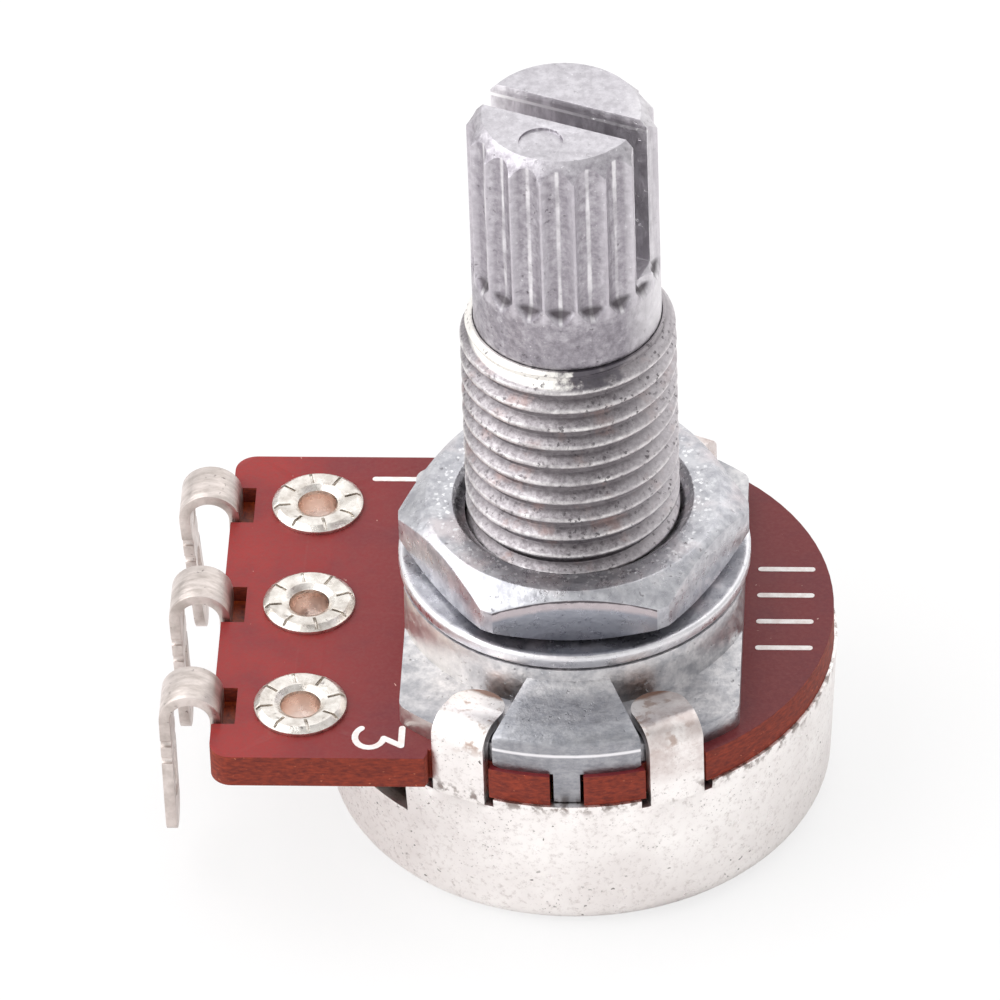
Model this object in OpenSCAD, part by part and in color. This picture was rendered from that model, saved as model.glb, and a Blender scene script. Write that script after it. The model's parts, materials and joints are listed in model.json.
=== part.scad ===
// Rotary potentiometer with a threaded bushing and a knurled split shaft, in millimetres.
// The origin is on the shaft's axis at the flat back of the cover, and +Z runs up the shaft.
// The terminals leave towards -X.

/* [Shaft] */
// Diameter of the shaft
shaft_d = 6; // [5.6:0.1:6.4]
// Plain collar between the bushing's end and the knurl
collar_len = 1.75; // [1:0.05:2.5]
// Length of the knurl up to the shaft's tip
knurl_len = 6.25; // [6:0.05:12]
// Number of knurled teeth
tooth_count = 18; // [16:1:20]
// Depth of a knurl groove
groove_depth = 0.28; // [0.2:0.02:0.36]
// Width of a knurl groove at the shaft's surface
groove_w = 0.98; // [0.6:0.02:1.02]
// Least width of a tooth's crest between two grooves
tooth_crest = 0.04; // [0.02:0.01:0.1]
// Length of the sloped run-out at the knurl's lower end
runout_len = 0.55; // [0.3:0.05:0.9]
// Height of the chamfer round the shaft's tip
tip_chamfer_h = 0.6; // [0.3:0.05:0.9]
// Width of the chamfer round the shaft's tip
tip_chamfer_w = 0.5; // [0.3:0.05:0.7]
// Width of the slot that splits the shaft's end
slot_w = 1.08; // [0.8:0.04:1.4]
// Depth of the slot below the tip
slot_depth = 5.6; // [4:0.1:6.4]
// Diameter of the round ejector mark on the tip
eject_d = 1.4; // [1:0.1:1.6]
// Depth of the ejector mark
eject_depth = 0.1; // [0.05:0.01:0.2]
// Shift of the ejector mark outwards from the middle of its half
eject_shift = 0.1; // [0:0.05:0.2]
// Angle of the shaft at rest, from the middle of its travel
rest_turn = -21; // [-145:1:145]

/* [Bushing casting] */
// Wall of the bushing, up to its thread's crests
bushing_wall = 0.42; // [0.35:0.01:0.7]
// Length of the bushing above the mounting face
bushing_len = 10.2; // [8:0.1:12]
// Height of the chamfer at the bushing's end
bushing_chamfer = 0.5; // [0.3:0.05:0.7]
// Wall that is left at the bushing's end
bushing_lip = 0.08; // [0.05:0.01:0.14]
// Rise of the bushing's thread in one turn
thread_pitch = 0.75; // [0.6:0.05:1]
// Wall of the bushing under its thread's roots
thread_root_wall = 0.11; // [0.08:0.01:0.2]
// Depth of the thread's start below the boss's face
thread_sink = 0.44; // [0.2:0.02:0.8]
// Height of the mounting face above the board
boss_h = 2.2; // [1.6:0.1:3]
// Draft of the boss's side wall
boss_draft = 0.15; // [0:0.05:0.3]
// Thickness of the base plate
plate_t = 0.75; // [0.5:0.05:1]
// Depth of the two flats on the boss, which run on down the base plate
flat_cut = 0.25; // [0.1:0.05:0.5]
// Radius of the base plate's corners
plate_corner_r = 0.5; // [0.3:0.1:0.8]
// Setback of each wing's end face from the cover's wall
wing_setback = 0.25; // [0.15:0.05:0.6]
// Step from the mounting face down to a wing
wing_step = 0.4; // [0.2:0.05:0.8]
// Fall of a wing's top from the boss to its end face
wing_fall = 0.55; // [0.3:0.05:0.8]
// Gap between a wing and the tab beside it
wing_gap = 0.2; // [0.12:0.02:0.3]
// Broken edge along the top of a wing's end face
wing_break = 0.12; // [0.05:0.01:0.2]
// Radius of the lower corners of a wing's end face
wing_corner_r = 0.45; // [0.2:0.05:0.6]
// Width of the locating peg under a wing
peg_w = 0.85; // [0.6:0.05:1.4]
// Depth of the locating peg behind the wing's end face
peg_depth = 0.9; // [0.6:0.1:1.2]

/* [Nut and washer] */
// Nut size across the flats
nut_af = 10; // [9:0.5:11]
// Height of the nut
nut_h = 2; // [1.6:0.1:3]
// Amount that rounding takes off the nut's width across its corners
nut_rounding = 0.25; // [0.1:0.05:0.5]
// Width of the chamfer at the nut's top face
nut_chamfer_w = 0.9; // [0.5:0.05:1.1]
// Height of the chamfer at the nut's top face
nut_chamfer_h = 0.65; // [0.3:0.05:0.8]
// Width of the chamfer at the nut's lower face
nut_foot_w = 0.9; // [0.3:0.05:1.1]
// Height of the chamfer at the nut's lower face
nut_foot_h = 0.5; // [0.1:0.05:0.6]
// Width of the countersink in the nut, out from the bushing
nut_sink = 0.45; // [0.3:0.05:0.7]
// Angle of the nut at rest
nut_turn = 2.6; // [0:0.2:60]
// Amount by which the washer is wider than the nut across its corners
washer_margin = 0.1; // [0:0.05:0.6]
// Thickness of the flat washer
washer_t = 0.5; // [0.4:0.05:0.8]
// Radius of the washer's rounded edges
washer_edge_r = 0.15; // [0.05:0.05:0.2]

/* [Rear cover] */
// Diameter of the cover at its rim
cover_d = 16.9; // [16.6:0.1:17.6]
// Draft of the cover's wall, on the radius
cover_draft = 0.25; // [0.1:0.05:0.35]
// Height of the cover up to the board
cover_h = 5.4; // [5:0.1:7]
// Thickness of the cover's sheet
sheet_t = 0.4; // [0.3:0.02:0.5]
// Outer radius of the bend round the cover's back
back_edge_r = 0.9; // [0.6:0.1:1.1]
// Width of a folded tab
tab_w = 1.85; // [1.4:0.05:1.95]
// Angle of each tab from the Y axis
tab_angle = 24.7; // [23:0.1:26]
// Space between a folded tab's tip and the boss
tab_space = 0.25; // [0.15:0.05:1]
// Radius of the tab's bend at mid thickness
tab_bend_r = 0.6; // [0.45:0.05:0.7]
// Downward slope of the folded tab
tab_slope = 8; // [4:1:12]
// Width and depth of the relief nick beside each tab
relief = 0.3; // [0.2:0.05:0.4]
// Half angle of the cut-out at the terminals
cutout_angle = 51; // [46:1:54]
// Depth of the cut-out at the terminals
cutout_depth = 1.9; // [1.6:0.1:2.1]

/* [Terminal board] */
// Thickness of the board
board_t = 1.2; // [0.8:0.1:1.6]
// Setback of the board's round edge from the cover's wall
board_inset = 0.1; // [0.05:0.05:0.3]
// Board beside the outer terminals, from their middle to the tail's side
tail_side = 2.5; // [2:0.1:3]
// Reach of the tail beyond the cover's wall
tail_out = 3.05; // [2.5:0.05:3.5]
// Radius of the tail's corners
tail_corner_r = 0.7; // [0.3:0.1:1.2]
// Spacing of the terminals
pitch = 5; // [4.8:0.1:5.2]
// Distance of the eyelets from the tail's end
eyelet_in = 2.82; // [2.6:0.02:3]
// Depth of the notch in the tail's edge at each terminal
notch_depth = 0.75; // [0.6:0.05:0.9]
// Gap between a terminal strip and the side of its notch
notch_gap = 0.1; // [0.05:0.05:0.2]
// Thickness of the printed tracks
print_t = 0.05; // [0.03:0.01:0.08]
// Bare board between its hole and the collector ring
print_margin = 0.35; // [0.2:0.05:0.5]
// Collector ring's share of the width printed on the board
collector_share = 0.385; // [0.3:0.005:0.5]
// Insulating gap between the collector ring and the carbon track
track_gap = 0.5; // [0.4:0.05:0.6]
// Width of an end pad's lead
pad_w = 2.2; // [1.6:0.1:2.4]

/* [Terminals and eyelets] */
// Width of a terminal strip
lug_w = 1.55; // [1.4:0.05:1.8]
// Thickness of a terminal strip
lug_t = 0.35; // [0.25:0.05:0.4]
// Inner radius of a terminal's bend under the board
lug_bend = 0.2; // [0.1:0.05:0.3]
// Outer radius of the terminal's arch
arch_r = 1; // [0.85:0.05:1.2]
// Overhang of the arch's centre beyond the tail's edge
arch_out = 0.7; // [0.6:0.05:0.8]
// Drop of a terminal's tip below the board's top
lug_drop = 5.02; // [4.4:0.05:5.6]
// Inward lean of terminal 1
lug_lean_1 = 4; // [0:0.2:5]
// Inward lean of terminal 2
lug_lean_2 = 1.8; // [0:0.2:5]
// Inward lean of terminal 3
lug_lean_3 = 0.4; // [0:0.2:5]
// Width of the solder eye in a terminal
eye_w = 0.75; // [0.5:0.05:0.8]
// Length of the solder eye
eye_len = 1.9; // [1.4:0.1:2.2]
// Strip left below the solder eye
eye_land = 1.25; // [0.9:0.05:1.4]
// Radius of the nicks in a terminal's edges
nick_r = 0.13; // [0.08:0.01:0.18]
// Spacing of the nicks along an edge
nick_pitch = 0.7; // [0.4:0.1:1]
// Diameter of a terminal's round head under the board
lug_head_d = 3; // [2.6:0.1:3.2]
// Bore of an eyelet
eyelet_bore = 1.3; // [1:0.1:1.4]
// Wall of an eyelet's barrel
eyelet_wall = 0.2; // [0.15:0.05:0.3]
// Diameter of an eyelet's rolled head
eyelet_d = 3; // [2.6:0.1:3.2]
// Height of an eyelet's rolled head
eyelet_h = 0.28; // [0.2:0.02:0.4]
// Number of splits in the rolled head
split_count = 8; // [6:1:10]
// Width of a split in the rolled head
split_w = 0.1; // [0.06:0.02:0.16]
// Diameter of an eyelet's lower flange
flange_d = 2.3; // [2:0.1:2.5]

/* [Rotor and wiper] */
// Total travel of the shaft between its stops
travel = 300; // [280:5:305]
// Thickness of the rotor's disc
rotor_t = 1; // [0.8:0.05:1.1]
// Height of the rotor's top above the lower edge of the cover's cut-out
rotor_lift = 0.1; // [0:0.05:0.2]
// Rotor's disc outside the carbon track
rotor_rim = 0.2; // [0.1:0.05:0.3]
// Reach of the stop lug beyond the rotor's disc
stop_reach = 0.8; // [0.6:0.05:1]
// Half angle of the rotor's stop lug
stop_half = 13; // [10:0.5:14]
// Diameter of the shaft's tenon in the rotor
tenon_d = 4; // [3.6:0.1:4.2]
// Width of the tenon across its flats
tenon_flat = 3; // [2.6:0.1:3.2]
// Diameter of the tenon's riveted end
rivet_d = 5; // [4.6:0.1:5.4]
// Height of the tenon's riveted end
rivet_h = 0.4; // [0.3:0.05:0.5]
// Wall of the rotor's lower hub outside its upper one
hub_step = 0.3; // [0.1:0.05:0.5]
// Length of the shaft left under the clip's groove
clip_shoulder = 0.6; // [0.4:0.05:0.8]
// Depth of the clip's groove in the shaft
clip_groove = 0.9; // [0.7:0.05:1]
// Thickness of the retaining clip
clip_t = 0.45; // [0.35:0.05:0.5]
// Lap of the retaining clip under the casting
clip_lap = 0.5; // [0.4:0.05:0.6]
// Mouth of the retaining clip
clip_mouth = 3; // [2.6:0.1:3.4]
// Thickness of the wiper's spring sheet
wiper_t = 0.2; // [0.15:0.01:0.25]
// Length of the wiper's raised fingers
finger_len = 2; // [1.8:0.1:2.2]
// Bend radius at a finger's contact
finger_bend = 0.35; // [0.25:0.05:0.45]
// Diameter of the pegs that hold the wiper
wiper_peg_d = 1; // [0.8:0.1:1.2]
// Distance of each of these pegs from the middle of the wiper
wiper_peg_y = 1.6; // [1.4:0.1:1.8]
// Height of a peg's riveted head
wiper_head_h = 0.3; // [0.2:0.05:0.4]

/* [Fits] */
// Radial running clearance of the shaft in the bushing
shaft_fit = 0.03; // [0.02:0.01:0.06]
// Radial clearance of the nut on the bushing
nut_fit = 0.05; // [0.03:0.01:0.08]
// Radial clearance of the washer on the bushing
washer_fit = 0.15; // [0.1:0.05:0.3]
// Play between flat faces that can move apart
face_gap = 0.02; // [0.01:0.01:0.04]
// End play of the shaft between its clip and the casting
end_play = 0.05; // [0.03:0.01:0.08]
// Clearance between assembled pieces that don't move
seat_gap = 0.02; // [0.01:0.01:0.04]
// Clearance between the cover's tabs and what stands beside them
tab_gap = 0.12; // [0.1:0.01:0.16]
// Clearance between the rotating pieces and the case
inner_gap = 0.3; // [0.25:0.01:0.35]
// Space round the retaining clip and round the rotor's disc
ring_gap = 0.2; // [0.15:0.01:0.25]
// Play between the stop lug and the tongue at each end of the travel
stop_play = 0.08; // [0.05:0.01:0.12]
// Setback of a piece's rim from the one that carries it
rim_inset = 0.05; // [0.03:0.01:0.1]
// Gap between a wiper finger and its track
contact_gap = 0.04; // [0.03:0.01:0.06]

/* [Hidden] */
$fn = 72;
// Cuts run this far past a face
past = 1;

// Shaft, bushing, nut and washer
shaft_r = shaft_d / 2;
bore_r = shaft_r + shaft_fit;
bushing_r = bore_r + bushing_wall;
nut_corner_d = nut_af / cos(30) - nut_rounding;
washer_d = nut_corner_d + washer_margin;

// Bushing's thread
thread_root_r = bore_r + thread_root_wall;
thread_sides = 30;
// Its profile over one turn's rise: share of the rise, share of the depth
thread_profile = [[0, 0], [0.2, 0], [0.53, 1], [0.67, 1], [1, 0]];
thread_corners = len(thread_profile) - 1;
thread_rows = thread_corners * ceil(bushing_len / thread_pitch + 2);

// Boss and base plate
boss_r = washer_d / 2;
plate_w = 2 * (boss_r - flat_cut);
wing_root_h = boss_h - wing_step;
wing_tip_h = wing_root_h - wing_fall;

// Levels up the stack
z_board = cover_h + board_t;
z_plate = z_board + plate_t;
z_seat = z_board + boss_h;
z_washer = z_seat + face_gap;
z_nut = z_washer + washer_t + face_gap;
z_bushing = z_seat + bushing_len;
z_thread = z_seat - thread_sink;
z_knurl = z_bushing + collar_len;
z_tip = z_knurl + knurl_len;
z_track = cover_h - print_t;

// Cover
cover_r = cover_d / 2;
wall_in = cover_r - sheet_t;
back_r = cover_r - cover_draft;
wing_reach = cover_r - wing_setback;
peg_slot = 2 * (wing_setback + peg_depth + tab_gap);
z_cutout = cover_h - cutout_depth;

// Tabs
tab_c = cover_r - sheet_t / 2;
tab_tip_r = boss_r + boss_draft + tab_space;
tab_grip = tab_c - tab_tip_r;
tab_bend = min(tab_bend_r, tab_grip / 2);
tab_tip_z = z_plate + sheet_t / 2 / cos(tab_slope) + seat_gap;
tab_bend_c = tab_c - tab_bend;
tab_bend_end = tab_bend_c - tab_bend * sin(tab_slope);
tab_bend_z = tab_tip_z + (tab_bend_end - tab_tip_r) * tan(tab_slope) - tab_bend * cos(tab_slope);
tab_angles = [-90 - tab_angle, -90 + tab_angle, 90 - tab_angle, 90 + tab_angle];
tab_side_x = cover_r * sin(tab_angle) + tab_w / 2 * cos(tab_angle);

// Board
board_r = cover_r - board_inset;
plate_r = wall_in - tab_gap;
tail_w = 2 * (pitch + tail_side);
tail_reach = cover_r + tail_out;
tail_end_x = tab_side_x + tab_gap;
eyelet_x = tail_reach - eyelet_in;
notch_w = lug_w + 2 * notch_gap;
clip_r = shaft_r + clip_lap;
board_hole_r = clip_r + ring_gap;
barrel_r = eyelet_bore / 2 + eyelet_wall;
barrel_hole_r = barrel_r + seat_gap;
pad_angle = atan2(pitch, eyelet_x);
pad_end = norm([pitch, eyelet_x]);

// Printed rings, between the board's hole and the rim of the rotor
stop_r = back_r - sheet_t - inner_gap;
rotor_r = stop_r - stop_reach;
track_out = rotor_r - rotor_rim;
collector_in = board_hole_r + print_margin;
print_w = track_out - collector_in - track_gap;
collector_w = print_w * collector_share;
collector_mid = collector_in + collector_w / 2;
track_in = collector_in + collector_w + track_gap;
track_mid = (track_in + track_out) / 2;

// Terminals
head_z = z_track - seat_gap - lug_t / 2;
arch_x = tail_reach + arch_out;
arch_c = arch_r - lug_t / 2;
rise_x = arch_x - arch_c;
foot_r = lug_bend + lug_t / 2;
z_lug_tip = z_board - lug_drop;
eyelet_bottom = head_z - lug_t / 2 - seat_gap - eyelet_wall;

// Rotor
rotor_top = z_cutout + rotor_lift;
rotor_bottom = rotor_top - rotor_t;
stop_free = 180 - travel / 2 - stop_half;
tongue_x = rotor_r + ring_gap;
tongue_half = tongue_x * tan(stop_free) - stop_play;
hub_r = shaft_r - 2 * rim_inset;
clip_top = z_board - end_play;
clip_bottom = clip_top - clip_t;
shoulder_z = clip_bottom - clip_shoulder;
rivet_z = sheet_t + inner_gap;
finger_peak = z_track - contact_gap - wiper_t / 2;
wiper_z = rotor_top + wiper_t / 2;
wiper_r = rotor_r - rim_inset;
wiper_peg_x = -(hub_r + wiper_r) / 2;

// Knurl groove, from its depth and its width at the surface
groove_floor = shaft_r - groove_depth;
groove_wide = min(groove_w, 2 * shaft_r * sin(180 / tooth_count) - tooth_crest);
groove_chord = sqrt(shaft_r * shaft_r - groove_wide * groove_wide / 4);
groove_c = (shaft_r * shaft_r - groove_floor * groove_floor) / (2 * (groove_chord - groove_floor));
groove_r = groove_c - groove_floor;

// Points along an arc, with both ends
function arc(c, r, a0, a1, n = 8) =
    [for (i = [0:n]) c + r * [cos(a0 + (a1 - a0) * i / n), sin(a0 + (a1 - a0) * i / n)]];

// Unit normal of a path at point i
function side(p, i) =
    let (d = p[min(i + 1, len(p) - 1)] - p[max(i - 1, 0)], u = d / norm(d)) [-u[1], u[0]];

// Outline of a bent strip of thickness t along a path
function strip(p, t) = concat(
    [for (i = [0:len(p) - 1]) p[i] + side(p, i) * t / 2],
    [for (i = [len(p) - 1:-1:0]) p[i] - side(p, i) * t / 2]);

// A strip bent in the XZ plane, w wide along Y
module bent_strip(path, t, w) {
    translate([0, w / 2, 0])
        rotate([90, 0, 0])
            linear_extrude(w)
                polygon(strip(path, t));
}

// A wedge about the Z axis, from angle a0 to a1
module wedge(a0, a1, r, h) {
    linear_extrude(h)
        polygon(concat([[0, 0]], arc([0, 0], r, a0, a1, 12)));
}

module ring(r_out, r_in, h) {
    difference() {
        cylinder(h = h, r = r_out);
        translate([0, 0, -past])
            cylinder(h = h + 2 * past, r = r_in);
    }
}

// The cover's section, from its axis outwards
function cup(r_back, r_rim, z0, z1, edge) = concat(
    [[0, z0]],
    arc([r_back - edge, z0 + edge], edge, -90, 0),
    [[r_rim, z1], [0, z1]]);

module cup_solid() {
    rotate_extrude()
        polygon(cup(back_r, cover_r, 0, cover_h, back_edge_r));
}

module cup_hollow() {
    rotate_extrude()
        polygon(concat(
            [[0, sheet_t]],
            arc([back_r - back_edge_r, back_edge_r], back_edge_r - sheet_t, -90, 0),
            [[wall_in, cover_h], [wall_in, cover_h + past], [0, cover_h + past]]));
}

// One tab, standing up from the rim and folded in over the base plate
module tab() {
    path = concat(
        [[tab_c, cover_h - relief]],
        arc([tab_bend_c, tab_bend_z], tab_bend, 0, 90 + tab_slope),
        [[tab_tip_r, tab_tip_z]]);
    intersection() {
        bent_strip(path, sheet_t, tab_w);
        union() {
            translate([tab_tip_r + tab_w / 2, 0, 0])
                cylinder(h = z_seat + past, r = tab_w / 2);
            translate([tab_tip_r + tab_w / 2, -tab_w / 2, 0])
                cube([tab_grip, tab_w, z_seat + past]);
        }
        cylinder(h = z_seat + past, r = cover_r);
    }
}

// The tongue bent in from the cut-out's edge, which stops the rotor
module stop_tongue() {
    intersection() {
        cup_solid();
        translate([-cover_r, -tongue_half, z_cutout - sheet_t])
            cube([cover_r - tongue_x, 2 * tongue_half, sheet_t]);
    }
}

module rear_cover() color([0.93, 0.91, 0.9]) {
    difference() {
        cup_solid();
        cup_hollow();
        translate([0, 0, z_cutout])
            wedge(180 - cutout_angle, 180 + cutout_angle, cover_d, cover_h);
        for (a = tab_angles, s = [-1, 1])
            rotate(a)
                translate([wall_in - past, s * (tab_w + relief) / 2 - relief / 2, cover_h - relief])
                    cube([sheet_t + 2 * past, relief, relief + past]);
    }
    for (a = tab_angles)
        rotate(a)
            tab();
    stop_tongue();
}

module tail() {
    inner = tail_reach - tail_corner_r;
    translate([-inner, -tail_w / 2, 0])
        cube([inner - tail_end_x, tail_w, board_t]);
    translate([-tail_reach, tail_corner_r - tail_w / 2, 0])
        cube([tail_corner_r, tail_w - 2 * tail_corner_r, board_t]);
    for (s = [-1, 1])
        translate([-inner, s * (tail_w / 2 - tail_corner_r), 0])
            cylinder(h = board_t, r = tail_corner_r);
}

module terminal_board() color([0.63, 0.27, 0.23]) {
    translate([0, 0, cover_h])
        difference() {
            union() {
                cylinder(h = board_t, r = board_r);
                tail();
            }
            translate([0, 0, -past])
                cylinder(h = board_t + 2 * past, r = board_hole_r);
            for (a = tab_angles)
                rotate(a)
                    translate([wall_in - tab_gap, -tab_w / 2 - tab_gap, -past])
                        cube([cover_r, tab_w + 2 * tab_gap, board_t + 2 * past]);
            for (s = [-1, 1])
                translate([-peg_w / 2 - tab_gap, s * cover_r - peg_slot / 2, -past])
                    cube([peg_w + 2 * tab_gap, peg_slot, board_t + 2 * past]);
            for (i = [-1:1]) {
                translate([-tail_reach - past, i * pitch - notch_w / 2, -past])
                    cube([notch_depth + past, notch_w, board_t + 2 * past]);
                translate([-eyelet_x, i * pitch, -past])
                    cylinder(h = board_t + 2 * past, r = barrel_hole_r);
            }
        }
}

// The straight lead of an end pad, from the track out to its eyelet
module pad_lead(a, h) {
    rotate(a)
        translate([track_in, -pad_w / 2, 0])
            cube([pad_end - track_in, pad_w, h]);
}

module carbon_track() color([0.12, 0.11, 0.11]) {
    translate([0, 0, z_track])
        difference() {
            ring(track_out, track_in, print_t);
            translate([0, 0, -past])
                wedge(180 - pad_angle, 180 + pad_angle, cover_d, 2 * past);
            for (s = [-1, 1])
                translate([0, 0, -past])
                    pad_lead(180 + s * pad_angle, 2 * past);
        }
}

module collector_ring() color([0.75, 0.75, 0.74]) {
    translate([0, 0, z_track])
        difference() {
            union() {
                ring(collector_in + collector_w, collector_in, print_t);
                translate([-eyelet_x, -collector_w, 0])
                    cube([eyelet_x - collector_mid, 2 * collector_w, print_t]);
                translate([-eyelet_x, 0, 0])
                    cylinder(h = print_t, r = lug_head_d / 2);
            }
            translate([-eyelet_x, 0, -past])
                cylinder(h = 2 * past, r = barrel_hole_r);
        }
}

// Silver pad from one end of the carbon track to its eyelet
module end_pad(s) color([0.75, 0.75, 0.74]) {
    translate([0, 0, z_track])
        difference() {
            union() {
                pad_lead(180 + s * pad_angle, print_t);
                rotate(180 + s * pad_angle)
                    translate([pad_end, 0, 0])
                        cylinder(h = print_t, r = lug_head_d / 2);
            }
            rotate(180 + s * pad_angle)
                translate([pad_end, 0, -past])
                    cylinder(h = 2 * past, r = barrel_hole_r);
        }
}

module end_pad_1() end_pad(-1);

module end_pad_3() end_pad(1);

// The strip's path in the XZ plane, from its head over the arch to its tip
function lug_path(lean) =
    let (
        rise = arc([-rise_x + foot_r, head_z + foot_r], foot_r, -90, -180, 6),
        over = arc([-arch_x, z_board], arch_c, 0, 180 + lean, 20),
        end = over[len(over) - 1],
        run = (end[1] - z_lug_tip) / cos(lean))
    concat([[-eyelet_x, head_z]], rise, over, [end + run * [sin(lean), -cos(lean)]]);

// What is cut through a strip's outer leg, along X: the solder eye and the edge nicks
module lug_cuts() {
    eye_r = eye_w / 2;
    eye_z = z_lug_tip + eye_land + eye_r;
    eye_top = z_lug_tip + eye_land + eye_len - eye_r;
    translate([-arch_x - 2 * arch_r, 0, 0])
        rotate([0, 90, 0]) {
            for (z = [eye_z, eye_top])
                translate([-z, 0, 0])
                    cylinder(h = 2 * arch_r, r = eye_r);
            translate([-eye_top, -eye_r, 0])
                cube([eye_top - eye_z, eye_w, 2 * arch_r]);
            for (k = [0, 1], s = [-1, 1])
                translate([arch_r + k * nick_pitch - z_board, s * lug_w / 2, 0])
                    cylinder(h = 2 * arch_r, r = nick_r, $fn = 24);
        }
}

// Outline of the strip seen along X, with its rounded tip
module lug_outline() {
    tall = lug_drop + 2 * arch_r;
    rotate([0, -90, 0])
        union() {
            translate([z_lug_tip + lug_w / 2, -lug_w / 2, 0])
                cube([tall, lug_w, 2 * arch_x]);
            translate([z_lug_tip + lug_w / 2, 0, 0])
                cylinder(h = 2 * arch_x, r = lug_w / 2);
        }
}

module terminal(i, lean) color([0.86, 0.83, 0.8]) {
    translate([0, i * pitch, 0])
        difference() {
            union() {
                intersection() {
                    bent_strip(lug_path(lean), lug_t, lug_w + past);
                    lug_outline();
                }
                translate([-eyelet_x, 0, head_z - lug_t / 2])
                    cylinder(h = lug_t, r = lug_head_d / 2);
            }
            translate([-eyelet_x, 0, head_z - past])
                cylinder(h = 2 * past, r = barrel_hole_r);
            lug_cuts();
        }
}

module terminal_1() terminal(1, lug_lean_1);

module terminal_2() terminal(0, lug_lean_2);

module terminal_3() terminal(-1, lug_lean_3);

// Hollow rivet: barrel, lower flange and a rolled head that split as it was set
module eyelet(i) color([0.87, 0.86, 0.84]) {
    hole_r = eyelet_bore / 2;
    head_r = eyelet_d / 2;
    crest_r = head_r - eyelet_wall;
    rim_h = 0.45 * eyelet_h;
    inner_h = 0.8 * eyelet_h;
    throat_h = 0.35 * eyelet_h;
    split_floor = 0.3 * eyelet_h;
    translate([-eyelet_x, i * pitch, 0])
        difference() {
            rotate_extrude()
                polygon([
                    [hole_r, eyelet_bottom],
                    [flange_d / 2, eyelet_bottom],
                    [flange_d / 2, eyelet_bottom + eyelet_wall],
                    [barrel_r, eyelet_bottom + eyelet_wall],
                    [barrel_r, z_board],
                    [head_r, z_board],
                    [head_r, z_board + rim_h],
                    [crest_r, z_board + eyelet_h],
                    [barrel_r, z_board + inner_h],
                    [hole_r, z_board + throat_h],
                ]);
            for (k = [0:split_count - 1])
                rotate((k + 0.3) * 360 / split_count)
                    translate([barrel_r + rim_inset, -split_w / 2, z_board + split_floor])
                        cube([head_r - barrel_r - 2 * rim_inset, split_w, eyelet_h]);
        }
}

module eyelet_1() eyelet(1);

module eyelet_2() eyelet(0);

module eyelet_3() eyelet(-1);

// The base plate's outline: a circle cut by two flats, with rounded corners
function plate_outline() =
    let (
        x = plate_w / 2 - plate_corner_r,
        y = sqrt(pow(plate_r - plate_corner_r, 2) - x * x),
        a = atan2(y, x))
    concat(
        arc([x, y], plate_corner_r, 0, a, 6),
        arc([0, 0], plate_r, a, 180 - a, 24),
        arc([-x, y], plate_corner_r, 180 - a, 180, 6),
        arc([-x, -y], plate_corner_r, 180, 180 + a, 6),
        arc([0, 0], plate_r, 180 + a, 360 - a, 24),
        arc([x, -y], plate_corner_r, 360 - a, 360, 6));

// Half width of a wing at distance y from the axis: its sides run along the tabs
function wing_half(y) = y * tan(tab_angle) - (tab_w / 2 + wing_gap) / cos(tab_angle);

// One wing, towards +Y, with the locating peg under it
module wing() {
    root_y = boss_r - past;
    r = wing_corner_r;
    tip = wing_half(wing_reach);
    intersection() {
        translate([0, 0, z_board])
            linear_extrude(wing_root_h)
                polygon([
                    [-wing_half(root_y), root_y], [wing_half(root_y), root_y],
                    [tip, wing_reach], [-tip, wing_reach],
                ]);
        translate([0, 0, z_board])
            rotate_extrude()
                polygon([
                    [0, 0], [wing_reach, 0], [wing_reach, wing_tip_h - wing_break],
                    [wing_reach - wing_break, wing_tip_h], [boss_r, wing_root_h], [0, wing_root_h],
                ]);
        translate([0, cover_r + past, z_board])
            rotate([90, 0, 0])
                linear_extrude(cover_d)
                    polygon(concat(
                        arc([tip - r, r], r, -90, 0, 6),
                        [[tip, wing_root_h], [-tip, wing_root_h]],
                        arc([r - tip, r], r, 180, 270, 6)));
    }
    intersection() {
        translate([-peg_w / 2, wing_reach - peg_depth, cover_h + 2 * seat_gap])
            cube([peg_w, peg_depth, board_t + wing_tip_h / 2]);
        cylinder(h = z_seat, r = wing_reach);
    }
}

// Height of the thread's row k at side i, kept between the thread's ends
function thread_z(k, i) =
    let (turn = floor(k / thread_corners) - 1 + thread_profile[k % thread_corners][0] + i / thread_sides)
    min(z_bushing, max(z_thread, z_thread + thread_pitch * turn));

// Radius of the thread at height z and side i, inside the chamfer of the bushing's end
function thread_r(z, i) =
    let (turn = (z - z_thread) / thread_pitch - i / thread_sides)
    let (depth = lookup(turn - floor(turn), thread_profile))
    let (end_r = bore_r + bushing_lip + (z_bushing - z) * (bushing_wall - bushing_lip) / bushing_chamfer)
    min(end_r, thread_root_r + depth * (bushing_r - thread_root_r));

// Number of the point in row k at side i, where the last side is the first one a turn higher
function thread_point(k, i) =
    i < thread_sides ? k * thread_sides + i : min(k + thread_corners, thread_rows) * thread_sides;

module thread() {
    last_side = thread_sides - 1;
    points = [
        for (k = [0:thread_rows], i = [0:last_side])
            let (z = thread_z(k, i), r = thread_r(z, i), a = 360 * i / thread_sides)
            [r * cos(a), r * sin(a), z],
    ];
    lower = [
        for (k = [0:thread_rows - 1], i = [0:last_side])
            if (thread_z(k, i + 1) < thread_z(k + 1, i + 1))
                [thread_point(k, i), thread_point(k + 1, i + 1), thread_point(k, i + 1)],
    ];
    upper = [
        for (k = [0:thread_rows - 1], i = [0:last_side])
            if (thread_z(k, i) < thread_z(k + 1, i))
                [thread_point(k, i), thread_point(k + 1, i), thread_point(k + 1, i + 1)],
    ];
    foot = [for (i = [0:last_side]) i];
    end = [for (i = [last_side:-1:0]) thread_point(thread_rows, i)];
    polyhedron(points, concat(lower, upper, [foot, end]));
}

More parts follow.
